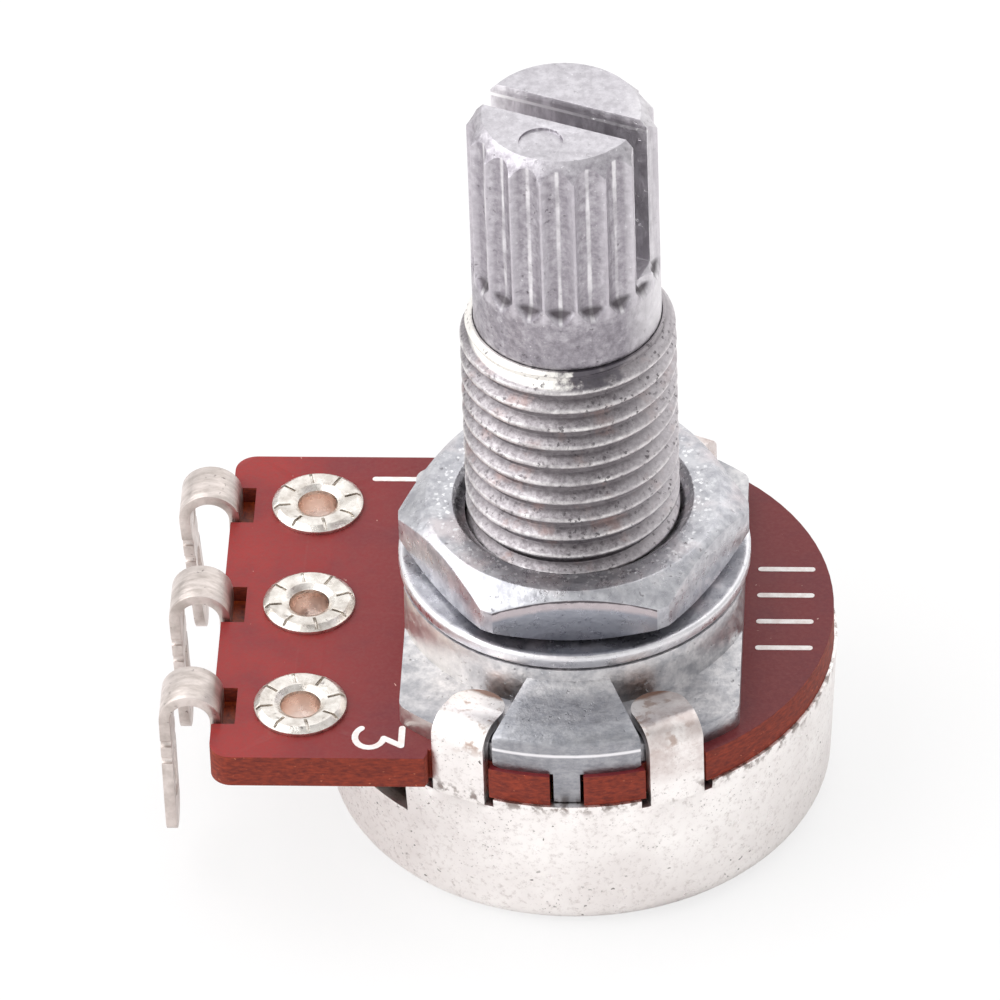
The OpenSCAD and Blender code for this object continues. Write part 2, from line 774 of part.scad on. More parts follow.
module bushing_casting() color([0.62, 0.64, 0.67]) {
    difference() {
        union() {
            translate([0, 0, z_board])
                linear_extrude(plate_t)
                    polygon(plate_outline());
            intersection() {
                translate([0, 0, z_board])
                    cylinder(h = boss_h, r1 = boss_r + boss_draft, r2 = boss_r);
                translate([-plate_w / 2, -plate_r, z_board])
                    cube([plate_w, 2 * plate_r, boss_h]);
            }
            wing();
            rotate(180)
                wing();
            thread();
        }
        translate([0, 0, z_board - past])
            cylinder(h = z_bushing - z_board + 2 * past, r = bore_r);
    }
}

// One knurl groove, with its sloped run-out at the lower end
module groove() {
    translate([groove_c, 0, z_knurl + runout_len])
        cylinder(h = z_tip, r = groove_r, $fn = 24);
    translate([groove_c, 0, z_knurl])
        cylinder(h = runout_len, r1 = groove_r - groove_depth, r2 = groove_r, $fn = 24);
}

// The shaft's section above its tenon
function shaft_section() = [
    [0, shoulder_z], [hub_r, shoulder_z], [hub_r, clip_bottom],
    [shaft_r - clip_groove, clip_bottom], [shaft_r - clip_groove, clip_top + seat_gap],
    [shaft_r, clip_top + seat_gap], [shaft_r, z_tip - tip_chamfer_h],
    [shaft_r - tip_chamfer_w, z_tip], [0, z_tip],
];

module tenon(clear, z0, z1) {
    intersection() {
        translate([0, 0, z0])
            cylinder(h = z1 - z0, r = tenon_d / 2 + clear);
        translate([-tenon_d, -tenon_flat / 2 - clear, z0])
            cube([2 * tenon_d, tenon_flat + 2 * clear, z1 - z0]);
    }
}

module shaft() color([0.72, 0.7, 0.71]) {
    rotate(rest_turn)
        difference() {
            union() {
                rotate_extrude()
                    polygon(shaft_section());
                tenon(0, rivet_z, shoulder_z + seat_gap);
                translate([0, 0, rivet_z])
                    cylinder(h = rivet_h, r = rivet_d / 2);
            }
            for (k = [0:tooth_count - 1])
                rotate((k + 0.5) * 360 / tooth_count)
                    groove();
            translate([-shaft_d, -slot_w / 2, z_tip - slot_depth])
                cube([2 * shaft_d, slot_w, slot_depth + past]);
            translate([0, -(slot_w / 2 + shaft_r - tip_chamfer_w) / 2 - eject_shift, z_tip - eject_depth])
                cylinder(h = past, r = eject_d / 2);
        }
}

module retaining_clip() color([0.45, 0.45, 0.47]) {
    rotate(rest_turn)
        translate([0, 0, clip_bottom])
            difference() {
                ring(clip_r, shaft_r - clip_groove + seat_gap, clip_t);
                translate([-clip_mouth / 2, 0, -past])
                    cube([clip_mouth, 2 * clip_r, clip_t + 2 * past]);
            }
}

module rotor() color([0.9, 0.88, 0.82]) {
    lower_hub = rivet_z + rivet_h + seat_gap;
    rotate(rest_turn)
        difference() {
            union() {
                translate([0, 0, rotor_bottom])
                    cylinder(h = rotor_t, r = rotor_r);
                translate([0, 0, lower_hub])
                    cylinder(h = rotor_bottom - lower_hub + seat_gap, r = hub_r + hub_step);
                translate([0, 0, rotor_bottom])
                    cylinder(h = shoulder_z - seat_gap - rotor_bottom, r = hub_r);
                intersection() {
                    translate([0, 0, rotor_bottom])
                        cylinder(h = rotor_t, r = stop_r);
                    translate([0, 0, rotor_bottom])
                        wedge(-stop_half, stop_half, cover_d, rotor_t);
                }
                for (s = [-1, 1])
                    translate([wiper_peg_x, s * wiper_peg_y, rotor_top - seat_gap]) {
                        cylinder(h = wiper_t + 3 * seat_gap, r = wiper_peg_d / 2);
                        translate([0, 0, wiper_t + 2 * seat_gap])
                            cylinder(h = wiper_head_h, r1 = 0.8 * wiper_peg_d, r2 = wiper_peg_d / 2);
                    }
            }
            tenon(seat_gap, 0, z_board);
        }
}

// Path of a wiper finger in the YZ plane: up from the sheet, over the contact and down
function finger_path() =
    let (
        climb = atan2(finger_peak - wiper_z, finger_len - finger_bend / 2))
    concat(
        [[-finger_len - 2 * wiper_t, wiper_z], [-finger_len, wiper_z]],
        arc([0, finger_peak - finger_bend], finger_bend, 90 + climb, 50, 8));

// One finger, w wide, centred on x
module finger(x, w) {
    translate([x, 0, 0])
        rotate(90)
            bent_strip(finger_path(), wiper_t, w);
}

module wiper_spring() color([0.8, 0.62, 0.34]) {
    finger_w = 0.45 * collector_w;
    finger_spread = 0.6 * finger_w;
    rotate(rest_turn) {
        translate([0, 0, rotor_top])
            difference() {
                cylinder(h = wiper_t, r = wiper_r);
                translate([0, 0, -past])
                    cylinder(h = 2 * past, r = hub_r + seat_gap);
                translate([collector_in - 2 * rim_inset, -finger_len, -past])
                    cube([cover_r, 1.5 * finger_len, 2 * past]);
                for (s = [-1, 1])
                    translate([wiper_peg_x, s * wiper_peg_y, -past])
                        cylinder(h = 2 * past, r = wiper_peg_d / 2 + seat_gap);
            }
        for (r = [collector_mid, track_mid], s = [-1, 1])
            finger(r + s * finger_spread, finger_w);
    }
}

module flat_washer() color([0.8, 0.8, 0.81]) {
    r = washer_edge_r;
    hole_r = bushing_r + washer_fit;
    translate([0, 0, z_washer])
        rotate_extrude()
            polygon(concat(
                [[hole_r, 0]],
                arc([washer_d / 2 - r, r], r, -90, 0, 5),
                arc([washer_d / 2 - r, washer_t - r], r, 0, 90, 5),
                [[hole_r, washer_t]]));
}

module mounting_nut() color([0.66, 0.67, 0.69]) {
    corner_r = nut_corner_d / 2;
    thread_r = bushing_r + nut_fit;
    sink = nut_sink - nut_fit;
    translate([0, 0, z_nut])
        rotate(nut_turn)
            difference() {
                intersection() {
                    cylinder(h = nut_h, r = nut_af / sqrt(3), $fn = 6);
                    rotate_extrude()
                        polygon([
                            [0, 0], [corner_r - nut_foot_w, 0], [corner_r, nut_foot_h],
                            [corner_r, nut_h - nut_chamfer_h], [corner_r - nut_chamfer_w, nut_h], [0, nut_h],
                        ]);
                }
                translate([0, 0, -past])
                    cylinder(h = nut_h + 2 * past, r = thread_r);
                translate([0, 0, nut_h - sink])
                    cylinder(h = sink, r1 = thread_r, r2 = thread_r + sink);
            }
}

rear_cover();
terminal_board();
carbon_track();
collector_ring();
end_pad_1();
end_pad_3();
terminal_1();
terminal_2();
terminal_3();
eyelet_1();
eyelet_2();
eyelet_3();
bushing_casting();
shaft();
retaining_clip();
rotor();
wiper_spring();
flat_washer();
mounting_nut();
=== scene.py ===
import json
import math

import bmesh
import bpy
from mathutils import Matrix, Vector


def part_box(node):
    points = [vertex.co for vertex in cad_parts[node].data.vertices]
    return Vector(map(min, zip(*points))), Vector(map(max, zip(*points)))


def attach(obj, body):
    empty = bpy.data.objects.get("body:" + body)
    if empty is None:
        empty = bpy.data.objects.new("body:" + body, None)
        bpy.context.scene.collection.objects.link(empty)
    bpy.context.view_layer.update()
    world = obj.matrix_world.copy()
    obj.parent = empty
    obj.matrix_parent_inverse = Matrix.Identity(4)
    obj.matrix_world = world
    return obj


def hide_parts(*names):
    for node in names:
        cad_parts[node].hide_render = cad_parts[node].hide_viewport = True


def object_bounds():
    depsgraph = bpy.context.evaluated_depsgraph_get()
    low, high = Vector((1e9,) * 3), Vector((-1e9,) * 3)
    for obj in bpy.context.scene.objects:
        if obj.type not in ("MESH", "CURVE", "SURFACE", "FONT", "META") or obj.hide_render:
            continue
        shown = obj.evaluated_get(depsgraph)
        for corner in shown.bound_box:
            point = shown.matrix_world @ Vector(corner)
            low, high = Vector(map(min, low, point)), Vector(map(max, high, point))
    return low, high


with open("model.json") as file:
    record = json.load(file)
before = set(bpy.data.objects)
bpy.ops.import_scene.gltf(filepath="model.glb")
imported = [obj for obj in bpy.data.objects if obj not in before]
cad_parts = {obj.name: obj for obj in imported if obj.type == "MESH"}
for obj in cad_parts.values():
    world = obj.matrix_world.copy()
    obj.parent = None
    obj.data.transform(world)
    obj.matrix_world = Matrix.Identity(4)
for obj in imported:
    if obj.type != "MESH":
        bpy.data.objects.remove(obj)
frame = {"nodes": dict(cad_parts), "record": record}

MM = 0.001
NODES = frame["nodes"]
CAD_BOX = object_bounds()
SLOT_OF = {s["node"]: s["material_slot"] for s in frame["record"]["subparts"]}

# Camera: where it stands, which way it looks in degrees, its lens and sensor, and how near and far it sees
CAMERA_PLACE = Vector((16.285, -276.776, 244.543)) * MM
CAMERA_AZIMUTH = 3.853
CAMERA_ELEVATION = 40.08
CAMERA_ROLL = -2.074
CAMERA_LENS = 405.65
CAMERA_SENSOR = 36.0
CAMERA_NEAR = 10 * MM
CAMERA_FAR = 10

# Light: one large soft lamp, and a sky with pale patches (direction, full within, gone beyond, strength)
KEY_PLACE = (-0.30, -0.02, 0.30)
KEY_AIM = Vector((0, 0, 0.012))
KEY_SIZE = 0.5
KEY_WATTS = 1.4
SKY_BASE = 0.3
SKY = [
    ((0.0, -1.0, 0.1), 20, 85, 0.75),
    ((-1.0, -0.3, 0.25), 10, 60, 0.7),
    ((0.0, 0.77, 0.64), 25, 65, 0.85),
    ((0.85, 0.3, 0.4), 10, 75, 0.5),
]

# Floor, and the share of plain white that the camera sees over its own shading
FLOOR_RADIUS = 1.5
FLOOR_SIDES = 64
FLOOR_DROP = 0.01 * MM
FLOOR_COLOR = (0.86, 0.85, 0.85, 1)
FLOOR_WHITE = 0.7

# Thread of the bushing: its profile runs over one pitch, from root to crest and back
THREAD_PITCH = 0.75 * MM
THREAD_DEPTH = 0.31 * MM
THREAD_CHAMFER = 0.5 * MM
THREAD_SINK = 0.44 * MM
THREAD_PROFILE = [(0.0, 0.0), (0.2, 0.0), (0.53, 1.0), (0.67, 1.0), (1.0, 0.0)]
THREAD_STEPS = 20
THREAD_SIDES = 144

# Gap under the washer, how far above the washer's underside the casting is cut, and how near points
# count as one
FACE_GAP = 0.02 * MM
CUT_LIFT = 0.01 * MM
CUT_NEAR = 0.0001 * MM
FLAT_NEAR = 0.0002 * MM
WELD = 0.0005 * MM

# White ink on the board
INK_HEIGHT = 0.015 * MM
INK_WIDTH = 0.21 * MM
INK_LAYER = 0.1
NUMBER_FOOT_X = -6.85 * MM
NUMBER_TALL = 1.5 * MM
NUMBER_WIDE = 1.1 * MM
ONE_Y = 6.37 * MM
THREE_Y = -6.47 * MM
MARK_X = 5.95 * MM
MARK_TALL = 1.65 * MM
MARK_COUNT = 4
MARK_PITCH = 1.3 * MM

# Figure 3: its bowl's radius in heights of the figure, its bar's ends and its knee in widths of it,
# and its bowl's bulge to the right, with the turns of the bowl's points in degrees
THREE_BOWL = 0.31
THREE_BAR = (-0.4, 0.38)
THREE_KNEE = 0.05
THREE_BULGE = 1.1
THREE_TURNS = range(80, -145, -16)

# Dark brown blocks in the board's notches, which stand in for the shade there
NOTCH_DEPTH = 0.75 * MM
NOTCH_WIDTH = 1.75 * MM
SHADE_FILL_WIDTH = 0.6 * MM
SHADE_FILL_HEIGHT = 0.6 * MM

# Rounding of the edges in millimetres, and the least turn in degrees of an edge that is rounded
EDGES = {
    "rear_cover": 0.04, "terminal_board": 0.06, "shaft": 0.05, "flat_washer": 0.03, "mounting_nut": 0.07,
    "terminal_1": 0.05, "terminal_2": 0.05, "terminal_3": 0.05,
    "eyelet_1": 0.03, "eyelet_2": 0.03, "eyelet_3": 0.03, "rotor": 0.05, "retaining_clip": 0.03,
    "wiper_spring": 0.02,
}
EDGE_ANGLE = 22
THREAD_EDGE = 0.04
THREAD_EDGE_ANGLE = 50

# Lacquer of the board
BOARD_IOR = 1.43

# Shapes that the materials follow, in millimetres and degrees
COLLAR_LEN = 1.75
RUNOUT_LEN = 0.55
SLOT_TURN = -21
SLOT_HALF = 0.54
SLOT_LINE = 0.42
TOOTH_COUNT = 18
PLATE_Z = 7.35
TAB_BEND = 0.5
NOTCH_END = 0.6
NUT_CHAMFER_W = 0.9
NUT_CHAMFER_H = 0.65

# Where a tone fades in, from none to full, in millimetres along an axis or from the shaft's axis
TAB_SHADE_X = (2.2, 2.6)
BOARD_SHADE_X = (-9.6, -5.4)
CORNER_SHADE_X = (2, 5)
CORNER_SHADE_Y = (0, -4)
WING_Y = (6.0, 6.5)
BOSS_LIT_X = (-2.2, -4.0)
THREAD_LIT_X = (1.4, 2.8)
SHAFT_LIT_X = (1.9, 2.9)
WASHER_SHADE_Y = (-2.8, -4.4)
NUT_FLECK_R = (4.7, 4.3)


def linear(r, g, b):
    """An 8-bit screen colour as scene-linear values."""
    def channel(c):
        c /= 255
        return c / 12.92 if c <= 0.04045 else ((c + 0.055) / 1.055) ** 2.4
    return (channel(r), channel(g), channel(b), 1)


class Nodes:
    """Short calls that add nodes to a tree."""

    def __init__(self, tree):
        self.tree = tree

    def put(self, socket, value):
        if isinstance(value, bpy.types.NodeSocket):
            self.tree.links.new(value, socket)
        else:
            socket.default_value = value

    def add(self, kind, inputs=(), **settings):
        node = self.tree.nodes.new("ShaderNode" + kind)
        for name, value in settings.items():
            setattr(node, name, value)
        for name, value in dict(inputs).items():
            self.put(node.inputs[name], value)
        return node

    def remap(self, value, low, high, to_low=0.0, to_high=1.0):
        return self.add("MapRange", {
            "Value": value, "From Min": low, "From Max": high,
            "To Min": to_low, "To Max": to_high}).outputs["Result"]

    def math(self, operation, a, b=0.0):
        return self.add("Math", {0: a, 1: b}, operation=operation).outputs[0]

    def times(self, first, *others):
        """Product of masks and numbers."""
        for other in others:
            first = self.math("MULTIPLY", first, other)
        return first

    def near(self, value, centre, gone, full, share=1.0):
        """share where a value is within full of a centre, 0 from gone on."""
        away = self.math("ABSOLUTE", self.math("SUBTRACT", value, centre))
        return self.remap(away, gone, full, 0, share)

    def mix(self, share, a, b):
        """Colour b over colour a."""
        node = self.add("Mix", data_type="RGBA")
        self.put(node.inputs[0], share)
        self.put(node.inputs[6], a)
        self.put(node.inputs[7], b)
        return node.outputs[2]

    def over(self, tone, share, rgb):
        """An 8-bit colour laid over a tone by a share."""
        return self.mix(share, tone, linear(*rgb))


class Look(Nodes):
    """A procedural material: one Principled shader, and the masks and tones before it."""

    def __init__(self, name, color, metallic, roughness):
        self.material = bpy.data.materials.new(name)
        self.material.use_nodes = True
        super().__init__(self.material.node_tree)
        self.shader = self.tree.nodes["Principled BSDF"]
        self.paint(color)
        self.rough(roughness)
        self.put(self.shader.inputs["Metallic"], metallic)

    def place(self, stretch=(1, 1, 1)):
        """Object coordinates in millimetres, each axis multiplied by its stretch."""
        coordinates = self.add("TexCoord").outputs["Object"]
        scale = [s / MM for s in stretch]
        return self.add("Mapping", {"Vector": coordinates, "Scale": scale}).outputs["Vector"]

    def axis(self, name):
        """One object coordinate, X, Y or Z, in millimetres."""
        return self.add("SeparateXYZ", {"Vector": self.place()}).outputs[name]

    def radius(self):
        """Distance from the shaft's axis, in millimetres."""
        x, y = self.axis("X"), self.axis("Y")
        return self.math("SQRT", self.math("ADD", self.times(x, x), self.times(y, y)))

    def facing(self, name):
        """How far the surface faces along X, Y or Z, in the piece's own frame."""
        normal = self.add("TexCoord").outputs["Normal"]
        return self.add("SeparateXYZ", {"Vector": normal}).outputs[name]

    def upright(self, low, high, share=1.0):
        """share on walls, 0 on flat tops and undersides."""
        return self.remap(self.math("ABSOLUTE", self.facing("Z")), high, low, 0, share)

    def noise(self, scale, detail=4.0, roughness=0.6, stretch=(1, 1, 1)):
        return self.add("TexNoise", {
            "Vector": self.place(stretch), "Scale": scale, "Detail": detail,
            "Roughness": roughness}).outputs["Fac"]

    def ragged(self, value, amount, scale, **kind):
        """A value with noise of up to an amount added, so that its masks have uneven edges."""
        return self.math("ADD", value, self.times(self.noise(scale, **kind), amount))

    def dots(self, scale, size, wobble):
        """1 inside scattered, wobbly dots, 0 outside. size is their radius as a share of their spacing."""
        where = self.place()
        shift = self.add("TexNoise", {"Vector": where, "Scale": scale * 2.5}).outputs["Color"]
        shift = self.add("VectorMath", {0: shift, "Scale": wobble / scale}, operation="SCALE").outputs[0]
        where = self.add("VectorMath", {0: where, 1: shift}, operation="ADD").outputs[0]
        distance = self.add("TexVoronoi", {"Vector": where, "Scale": scale}).outputs["Distance"]
        return self.remap(distance, size, size * 0.6)

    def specks(self, scale, size, where, wobble=0.7):
        """Scattered dots, kept to the patches where a coarser noise is high."""
        return self.times(self.dots(scale, size, wobble), self.remap(self.noise(where), 0.46, 0.6))

    def tone(self):
        """The colour as painted so far."""
        return self.shader.inputs["Base Color"].links[0].from_socket

    def paint(self, color):
        self.put(self.shader.inputs["Base Color"], color)

    def rough(self, value):
        self.put(self.shader.inputs["Roughness"], value)

    def relief(self, height, depth_mm):
        """Bump from a height of 0 to 1, depth_mm deep."""
        bump = self.add("Bump", {"Height": height, "Strength": 1.0, "Distance": depth_mm * MM})
        if self.shader.inputs["Normal"].links:
            self.put(bump.inputs["Normal"], self.shader.inputs["Normal"].links[0].from_socket)
        self.put(self.shader.inputs["Normal"], bump.outputs["Normal"])


def tinned_steel():
    """Drawn, tin-plated sheet: near white, speckled grey, with darker patches along the cut rim, browned
    tabs, and painted shade on the right-hand tabs.
    """
    look = Look("tinned_steel", linear(244, 240, 238), 1.0, 0.3)
    drift = look.remap(look.noise(0.35, detail=3), 0.35, 0.7)
    tone = look.mix(drift, linear(252, 249, 247), linear(236, 231, 229))
    mottle = look.remap(look.noise(4.6, detail=7, roughness=0.75), 0.52, 0.66, 0, 0.62)
    tone = look.over(tone, mottle, (196, 188, 185))
    tone = look.over(tone, look.times(look.specks(6, 0.2, 0.6), 0.7), (120, 112, 110))
    tone = look.over(tone, look.specks(2.2, 0.13, 0.5), (74, 64, 60))

    height = look.axis("Z")
    # Darker brown-grey patches in a band along the cut rim, where the board sits on it.
    rim = look.times(look.remap(height, RIM_Z - 0.45, RIM_Z - 0.1), look.remap(height, RIM_Z + 0.4, RIM_Z))
    rim_dark = look.times(rim, look.remap(look.noise(2.6, detail=6), 0.5, 0.6), 0.75)
    tone = look.over(tone, rim_dark, (104, 84, 76))
    bend = look.times(look.remap(height, TAB_Z - 0.5, TAB_Z),
                      look.remap(look.noise(2.2, detail=6), 0.55, 0.66), 0.7)
    tone = look.over(tone, bend, (150, 112, 88))
    # Painted shade: the right-hand tabs and the top of the wall beside them are painted darker, in patches.
    right = look.times(look.remap(look.axis("X"), *TAB_SHADE_X), look.remap(height, TAB_Z - 1.6, TAB_Z - 1.1))
    right_shade = look.remap(look.noise(0.9, detail=7, roughness=0.7), 0.35, 0.6, 0.2, 0.8)
    tone = look.over(tone, look.times(right, right_shade), (196, 182, 178))
    inward = look.ragged(look.radius(), 0.3, 1.8, detail=5)
    tip = look.times(look.remap(inward, TAB_TIP_R + 0.5, TAB_TIP_R + 0.34),
                     look.remap(height, TAB_Z - 0.3, TAB_Z - 0.2), 0.85)
    look.paint(look.over(tone, tip, (132, 84, 56)))
    look.rough(look.remap(look.noise(1.6, detail=6), 0.3, 0.7, 0.26, 0.46))
    look.relief(look.noise(1.1, detail=6), 0.03)
    return look


def phenolic_board():
    """Red-brown lacquered laminate, darker and bluer in places, with painted shade towards its right and at
    its front right corner, and orange-brown cut edges.
    """
    look = Look("phenolic_board", linear(162, 76, 69), 0.0, 0.4)
    look.put(look.shader.inputs["IOR"], BOARD_IOR)
    drift = look.remap(look.noise(0.25, detail=3), 0.35, 0.65)
    top = look.mix(drift, linear(150, 36, 34), linear(138, 30, 30))
    top = look.over(top, look.remap(look.axis("X"), *BOARD_SHADE_X), (110, 24, 30))
    # Painted shade: the board's top darkens from left to right, away from the lamp.
    top = look.over(top, look.remap(look.noise(0.45, detail=4), 0.48, 0.68, 0, 0.35), (84, 26, 42))
    # Painted shade: the board's front right corner painted darker, as the shadow of the nut and shaft.
    corner = look.times(look.remap(look.axis("X"), *CORNER_SHADE_X),
                        look.remap(look.axis("Y"), *CORNER_SHADE_Y, 0, 0.6))
    top = look.over(top, corner, (92, 20, 26))
    top = look.over(top, look.remap(look.noise(9, detail=5), 0.4, 0.65, 0, 0.45), (120, 50, 48))
    top = look.over(top, look.times(look.specks(1.7, 0.06, 0.5), 0.8), (232, 196, 182))
    fibres = look.noise(3.5, detail=6, roughness=0.7, stretch=(1, 1, 3))
    edge = look.mix(look.remap(fibres, 0.36, 0.64), linear(92, 24, 14), linear(140, 50, 26))
    edge = look.over(edge, look.times(look.specks(4, 0.14, 0.8), 0.6), (214, 128, 92))
    flat = look.remap(look.math("ABSOLUTE", look.facing("Z")), 0.5, 0.8)
    look.paint(look.mix(flat, edge, top))
    look.rough(look.remap(flat, 0, 1, 0.7, 0.37))
    look.relief(look.noise(7, detail=4), 0.008)
    return look


def satin_metal(look, light, dark, scale, roughness):
    """Tone of satin metal: it drifts between two colours, with dark pits and bright specks."""
    drift = look.remap(look.noise(scale, detail=7, roughness=0.68), 0.38, 0.62)
    tone = look.mix(drift, linear(*dark), linear(*light))
    pit = look.specks(3.4, 0.19, 0.7, wobble=0.9)
    tone = look.over(tone, look.times(pit, 0.65), (92, 88, 92))
    tone = look.over(tone, look.times(look.specks(5.2, 0.16, 0.9), 0.5), (250, 250, 252))
    look.rough(look.remap(look.noise(scale * 1.7, detail=4), 0.3, 0.7, roughness - 0.08, roughness + 0.12))
    look.relief(look.noise(scale * 3, detail=5), 0.015)
    look.relief(look.math("SUBTRACT", 1.0, pit), 0.02)
    return tone


def worn_thread(look):
    """Tone of the thread: bright crests, partly wear and partly painted highlight, over roots darkened as
    painted shade; a chamfer with a painted highlight at the left and painted shade in front, and painted
    light on the right.
    """
    height = look.axis("Z")
    out = look.ragged(look.radius(), 0.12, 5, detail=5)
    mottle = look.remap(look.noise(6, detail=7, roughness=0.75), 0.4, 0.62)
    worn = look.mix(mottle, linear(128, 121, 125), linear(178, 173, 176))
    # Painted shade: the thread's roots painted darker.
    root = look.remap(out, CREST_R - 0.04, CREST_R - 0.22)
    worn = look.over(worn, look.times(root, 0.75), (84, 77, 81))
    worn = look.over(worn, look.remap(look.noise(0.9, detail=5), 0.56, 0.68, 0, 0.5), (150, 118, 110))
    # Bright crests: partly wear, partly a painted highlight.
    bright = look.remap(look.noise(1.3, detail=6, roughness=0.7), 0.38, 0.6, 0.2, 0.9)
    worn = look.over(worn, look.times(look.remap(out, CREST_R, CREST_R + 0.07), bright), (240, 237, 236))

    foot = BUSHING_Z - THREAD_CHAMFER / MM
    chamfer = look.remap(height, foot - 0.06, foot + 0.02)
    drift = look.remap(look.noise(2.2, detail=6), 0.3, 0.7, -0.7, 0.7)
    along = look.math("ADD", look.axis("X"), drift)
    # Painted highlight: the chamfer pale at the left, towards the lamp.
    worn = look.over(worn, look.times(chamfer, look.remap(along, 0.3, -0.2, 0, 0.85)), (255, 252, 246))
    # Painted shade: the chamfer darker in front.
    dark = look.times(look.remap(along, 0.2, 0.5), look.remap(along, 2.1, 1.5, 0, 0.85), chamfer,
                      look.remap(look.axis("Y"), -0.5, -1.0))
    worn = look.over(worn, dark, (66, 60, 70))
    # Painted light: the thread's right side painted lighter.
    worn = look.over(worn, look.remap(look.axis("X"), *THREAD_LIT_X, 0, 0.35), (226, 220, 224))
    pits = look.times(look.dots(5, 0.34, wobble=0.9), look.remap(look.noise(1.1), 0.42, 0.58, 0, 0.85))
    return look.over(worn, pits, (70, 64, 68))


def cast_zinc():
    """Zinc casting: blue-grey and satin, with grainy wings, a painted highlight along the plate's outer
    edge, a boss with a painted highlight at the left, and a worn thread.
    """
    look = Look("cast_zinc", linear(176, 178, 184), 1.0, 0.36)
    tone = satin_metal(look, (212, 210, 211), (170, 170, 174), 2.2, 0.36)
    wing = look.remap(look.math("ABSOLUTE", look.axis("Y")), *WING_Y, 0, 0.75)
    grain = look.remap(look.noise(5, detail=7, roughness=0.75, stretch=(0.5, 1, 1)), 0.4, 0.6)
    tone = look.mix(wing, tone, look.mix(grain, linear(122, 124, 131), linear(154, 155, 161)))
    # Painted highlight: a near white line along the plate's outer top edge.
    edge = look.times(look.remap(look.radius(), WING_R - 0.12, WING_R - 0.06),
                      look.near(look.axis("Z"), PLATE_Z, 0.08, 0.03), 0.85)
    tone = look.over(tone, edge, (244, 242, 245))
    # Painted highlight: the boss's side pale at the left.
    boss = look.times(look.remap(look.axis("X"), *BOSS_LIT_X), look.upright(0.4, 0.6, 0.5))
    tone = look.over(tone, boss, (250, 243, 234))
    threaded = look.remap(look.axis("Z"), SEAT_Z, SEAT_Z + 0.05)
    look.paint(look.mix(look.times(threaded, 0.9), tone, worn_thread(look)))
    return look


def teeth(look):
    """Place across one knurl tooth: 0 on a groove's centre line, 1 on the crest."""
    turn = look.math("ARCTAN2", look.axis("Y"), look.axis("X"))
    turn = look.math("ADD", turn, 4 * math.pi - math.radians(SLOT_TURN))
    share = look.times(turn, TOOTH_COUNT / (2 * math.pi))
    return look.math("ABSOLUTE", look.remap(look.math("FRACT", share), 0, 1, -1, 1))


def knurl(look, tone):
    """Tone of the knurl: streaked, with crests paler as painted highlight, painted reflections as bright
    lines in its grooves, and darker grooves at the run-outs.
    """
    height = look.axis("Z")
    streak = look.remap(look.noise(3, detail=5, stretch=(1, 1, 0.12)), 0.4, 0.62, 0, 0.5)
    tone = look.over(tone, streak, (140, 134, 142))
    # Painted highlight: the knurl's crests painted paler.
    tone = look.over(tone, look.remap(teeth(look), 0.6, 0.95, 0, 0.4), (226, 222, 228))
    # Painted reflection: a bright line down the centre of each groove.
    across = look.ragged(teeth(look), 0.25, 1.2, stretch=(1, 1, 0.5))
    glint_share = look.remap(look.noise(0.8, detail=5), 0.4, 0.6, 0.2, 0.7)
    tone = look.over(tone, look.remap(across, 0.3, 0.2, 0, glint_share), (246, 244, 246))
    out = look.ragged(look.radius(), 0.05, 4, detail=5)
    groove = look.remap(out, SHAFT_R - 0.02, SHAFT_R - 0.12, 0, 0.5)
    runout_z = KNURL_Z + RUNOUT_LEN
    # Darker in the grooves near the run-out.
    runout_dark = look.times(groove, look.remap(height, runout_z + 0.05, runout_z - 0.1), 1.7)
    return look.over(tone, runout_dark, (74, 68, 72))


def slot_wall(look):
    """Tone of the slot's walls, painted pale as painted light, with the bright line drawn along them."""
    # Painted light: the slot's walls painted paler than the shaft.
    lit_wall = look.remap(look.noise(2.5, detail=5, stretch=(1, 1, 0.4)), 0.4, 0.6)
    lit_wall = look.mix(lit_wall, linear(196, 192, 197), linear(232, 229, 233))
    return look.over(lit_wall, look.near(look.axis("Z"), TIP_Z - SLOT_LINE, 0.08, 0.04), (255, 254, 255))


def shaft_metal():
    """Satin shaft, mottled, with painted highlights on its tops and its right side, with its knurl and its
    slot.
    """
    look = Look("shaft_metal", linear(196, 191, 197), 1.0, 0.36)
    height = look.axis("Z")
    side = look.upright(0.5, 0.6)
    tone = satin_metal(look, (188, 184, 190), (146, 141, 148), 3.6, 0.38)
    # Painted highlight: faces that look up painted paler.
    tone = look.over(tone, look.remap(look.facing("Z"), 0.6, 0.8, 0, 0.3), (250, 248, 252))
    neck = look.times(look.remap(height, KNURL_Z + 0.1, KNURL_Z - 0.2),
                      look.remap(look.noise(1.6, detail=6), 0.35, 0.55, 0.05, 0.4))
    tone = look.over(tone, neck, (112, 107, 115))
    # Painted highlight: a pale strip down the shaft's right side.
    tone = look.over(tone, look.remap(look.axis("X"), *SHAFT_LIT_X, 0, 0.6), (250, 248, 250))
    knurled = look.times(look.remap(height, KNURL_Z, KNURL_Z + 0.1), side)
    tone = look.mix(knurled, tone, knurl(look, tone))

    turn = math.radians(SLOT_TURN)
    from_slot = look.math("ADD", look.times(look.axis("X"), -math.sin(turn)),
                          look.times(look.axis("Y"), math.cos(turn)))
    inside = look.times(look.near(from_slot, 0, SLOT_HALF + 0.06, SLOT_HALF + 0.02),
                        look.remap(height, KNURL_Z + 0.4, KNURL_Z + 0.5), side)
    look.paint(look.mix(inside, tone, slot_wall(look)))
    return look


